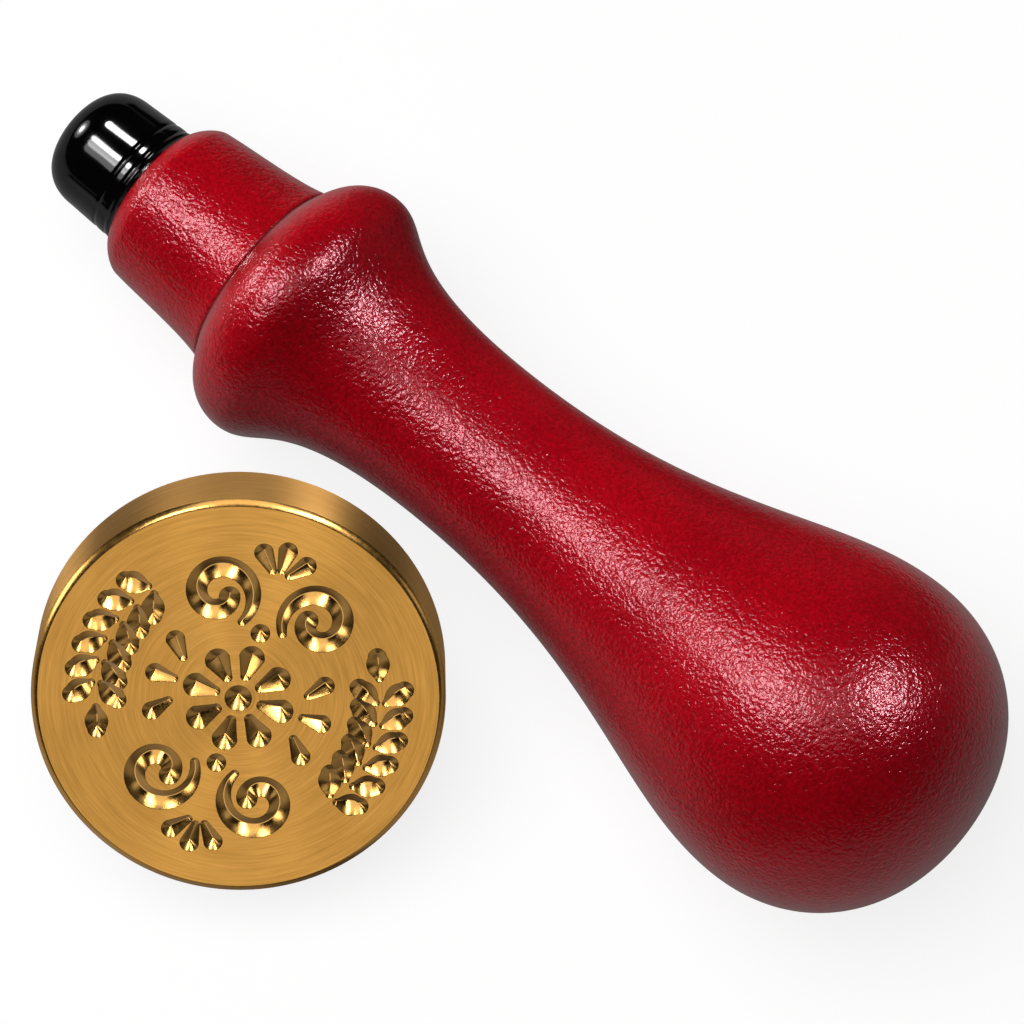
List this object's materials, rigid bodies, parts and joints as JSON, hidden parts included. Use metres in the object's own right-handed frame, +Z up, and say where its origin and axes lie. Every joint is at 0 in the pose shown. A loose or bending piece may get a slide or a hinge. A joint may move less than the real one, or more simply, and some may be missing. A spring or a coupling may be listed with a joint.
{
  "type": "chocolate stamp",
  "caption": "Hand stamp for chocolate: turned red lacquered handle with a capped screw stud, and a loose round brass head with an engraved face that screws onto it.",
  "frame": {"origin": "on the table, at the centre of the box round the lying handle and the head beside it", "axes": "+X along the handle in plan, from the capped stud to the bulb; +Z up; the head lies on the -Y side"},
  "size_m": [0.0854, 0.0528, 0.0266],
  "materials": {
    "red_lacquer": "deep red gloss lacquer over turned wood, with a fine orange-peel surface",
    "zinc_steel": "bright zinc-plated steel thread",
    "black_vinyl": "glossy soft black vinyl",
    "turned_brass": "turned and engraved brass, fine concentric tool lines"
  },
  "bodies": {
    "handle": {"handle": "red_lacquer", "threaded_stud": "zinc_steel"},
    "cap": {"stud_cap": "black_vinyl"},
    "head": {"stamp_head": "turned_brass"}
  },
  "joints": [
    {"name": "cap_slide", "type": "slide", "parent": "handle", "child": "cap", "axis": [-0.9987, 0, -0.0517], "range_m": [0, 0.02]},
    {"name": "head_lift", "type": "slide", "parent": "handle", "child": "head", "axis": [0, 0, 1], "range_m": [0, 0.05]}
  ]
}
